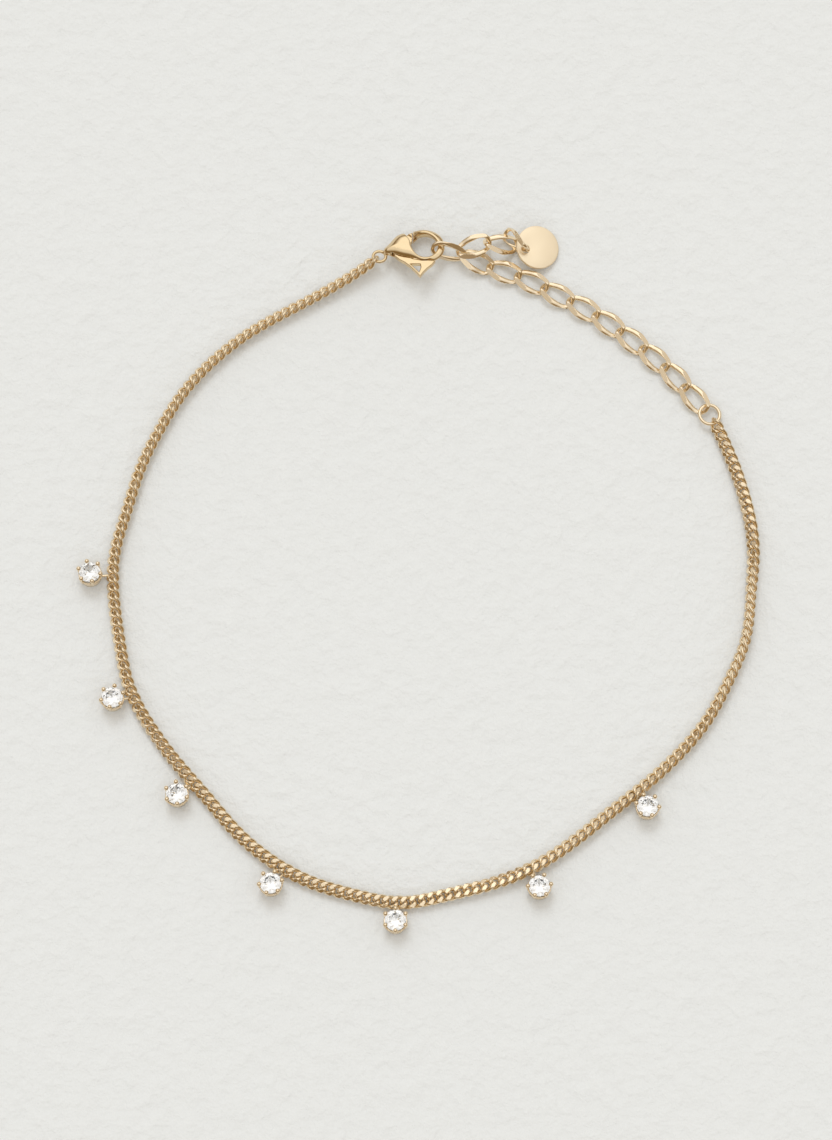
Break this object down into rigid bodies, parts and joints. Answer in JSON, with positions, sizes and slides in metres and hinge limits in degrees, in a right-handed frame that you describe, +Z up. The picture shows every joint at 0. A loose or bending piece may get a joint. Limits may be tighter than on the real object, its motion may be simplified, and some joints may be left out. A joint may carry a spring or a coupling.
{
  "type": "charm anklet",
  "caption": "Fine curb-chain anklet with round clear stones in claw settings, an extender of larger links and a sprung lobster clasp.",
  "frame": {"origin": "middle of the closed loop, on the surface that the anklet lies on", "axes": "+Z up out of the surface, +Y towards the clasp and away from the middle stone, +X towards the end ring"},
  "size_m": [0.0801, 0.0848, 0.0033],
  "materials": {
    "chain_metal": "polished pale gold plating with diamond-cut flats",
    "extender_metal": "polished pale gold plating with diamond-cut flats",
    "setting_metal": "polished pale gold plating",
    "clasp_metal": "polished pale gold plating",
    "tag_metal": "smooth pale gold plating",
    "clear_stone": "clear polished facets"
  },
  "bodies": {
    "anklet": {"clasp_body": "clasp_metal", "curb_chain": "chain_metal", "disc_tag": "tag_metal", "end_ring": "extender_metal", "extender_link_01": "extender_metal", "extender_link_02": "extender_metal", "extender_link_03": "extender_metal", "extender_link_04": "extender_metal", "extender_link_05": "extender_metal", "extender_link_06": "extender_metal", "extender_link_07": "extender_metal", "extender_link_08": "extender_metal", "extender_link_09": "extender_metal", "extender_link_10": "extender_metal", "extender_link_11": "extender_metal", "extender_link_12": "extender_metal", "extender_link_13": "extender_metal", "setting_1": "setting_metal", "setting_2": "setting_metal", "setting_3": "setting_metal", "setting_4": "setting_metal", "setting_5": "setting_metal", "setting_6": "setting_metal", "setting_7": "setting_metal", "stone_1": "clear_stone", "stone_2": "clear_stone", "stone_3": "clear_stone", "stone_4": "clear_stone", "stone_5": "clear_stone", "stone_6": "clear_stone", "stone_7": "clear_stone", "tag_link": "extender_metal"},
    "lever": {"clasp_lever": "clasp_metal"}
  },
  "joints": [
    {"name": "lever_hinge", "type": "hinge", "parent": "anklet", "child": "lever", "pos_m": [-0.0042, 0.03933, 0.00167], "axis": [0, -0.309, -0.9511], "range_deg": [0, 28], "stiffness_Nm_per_rad": 0.002, "springref_deg": -20.05}
  ]
}
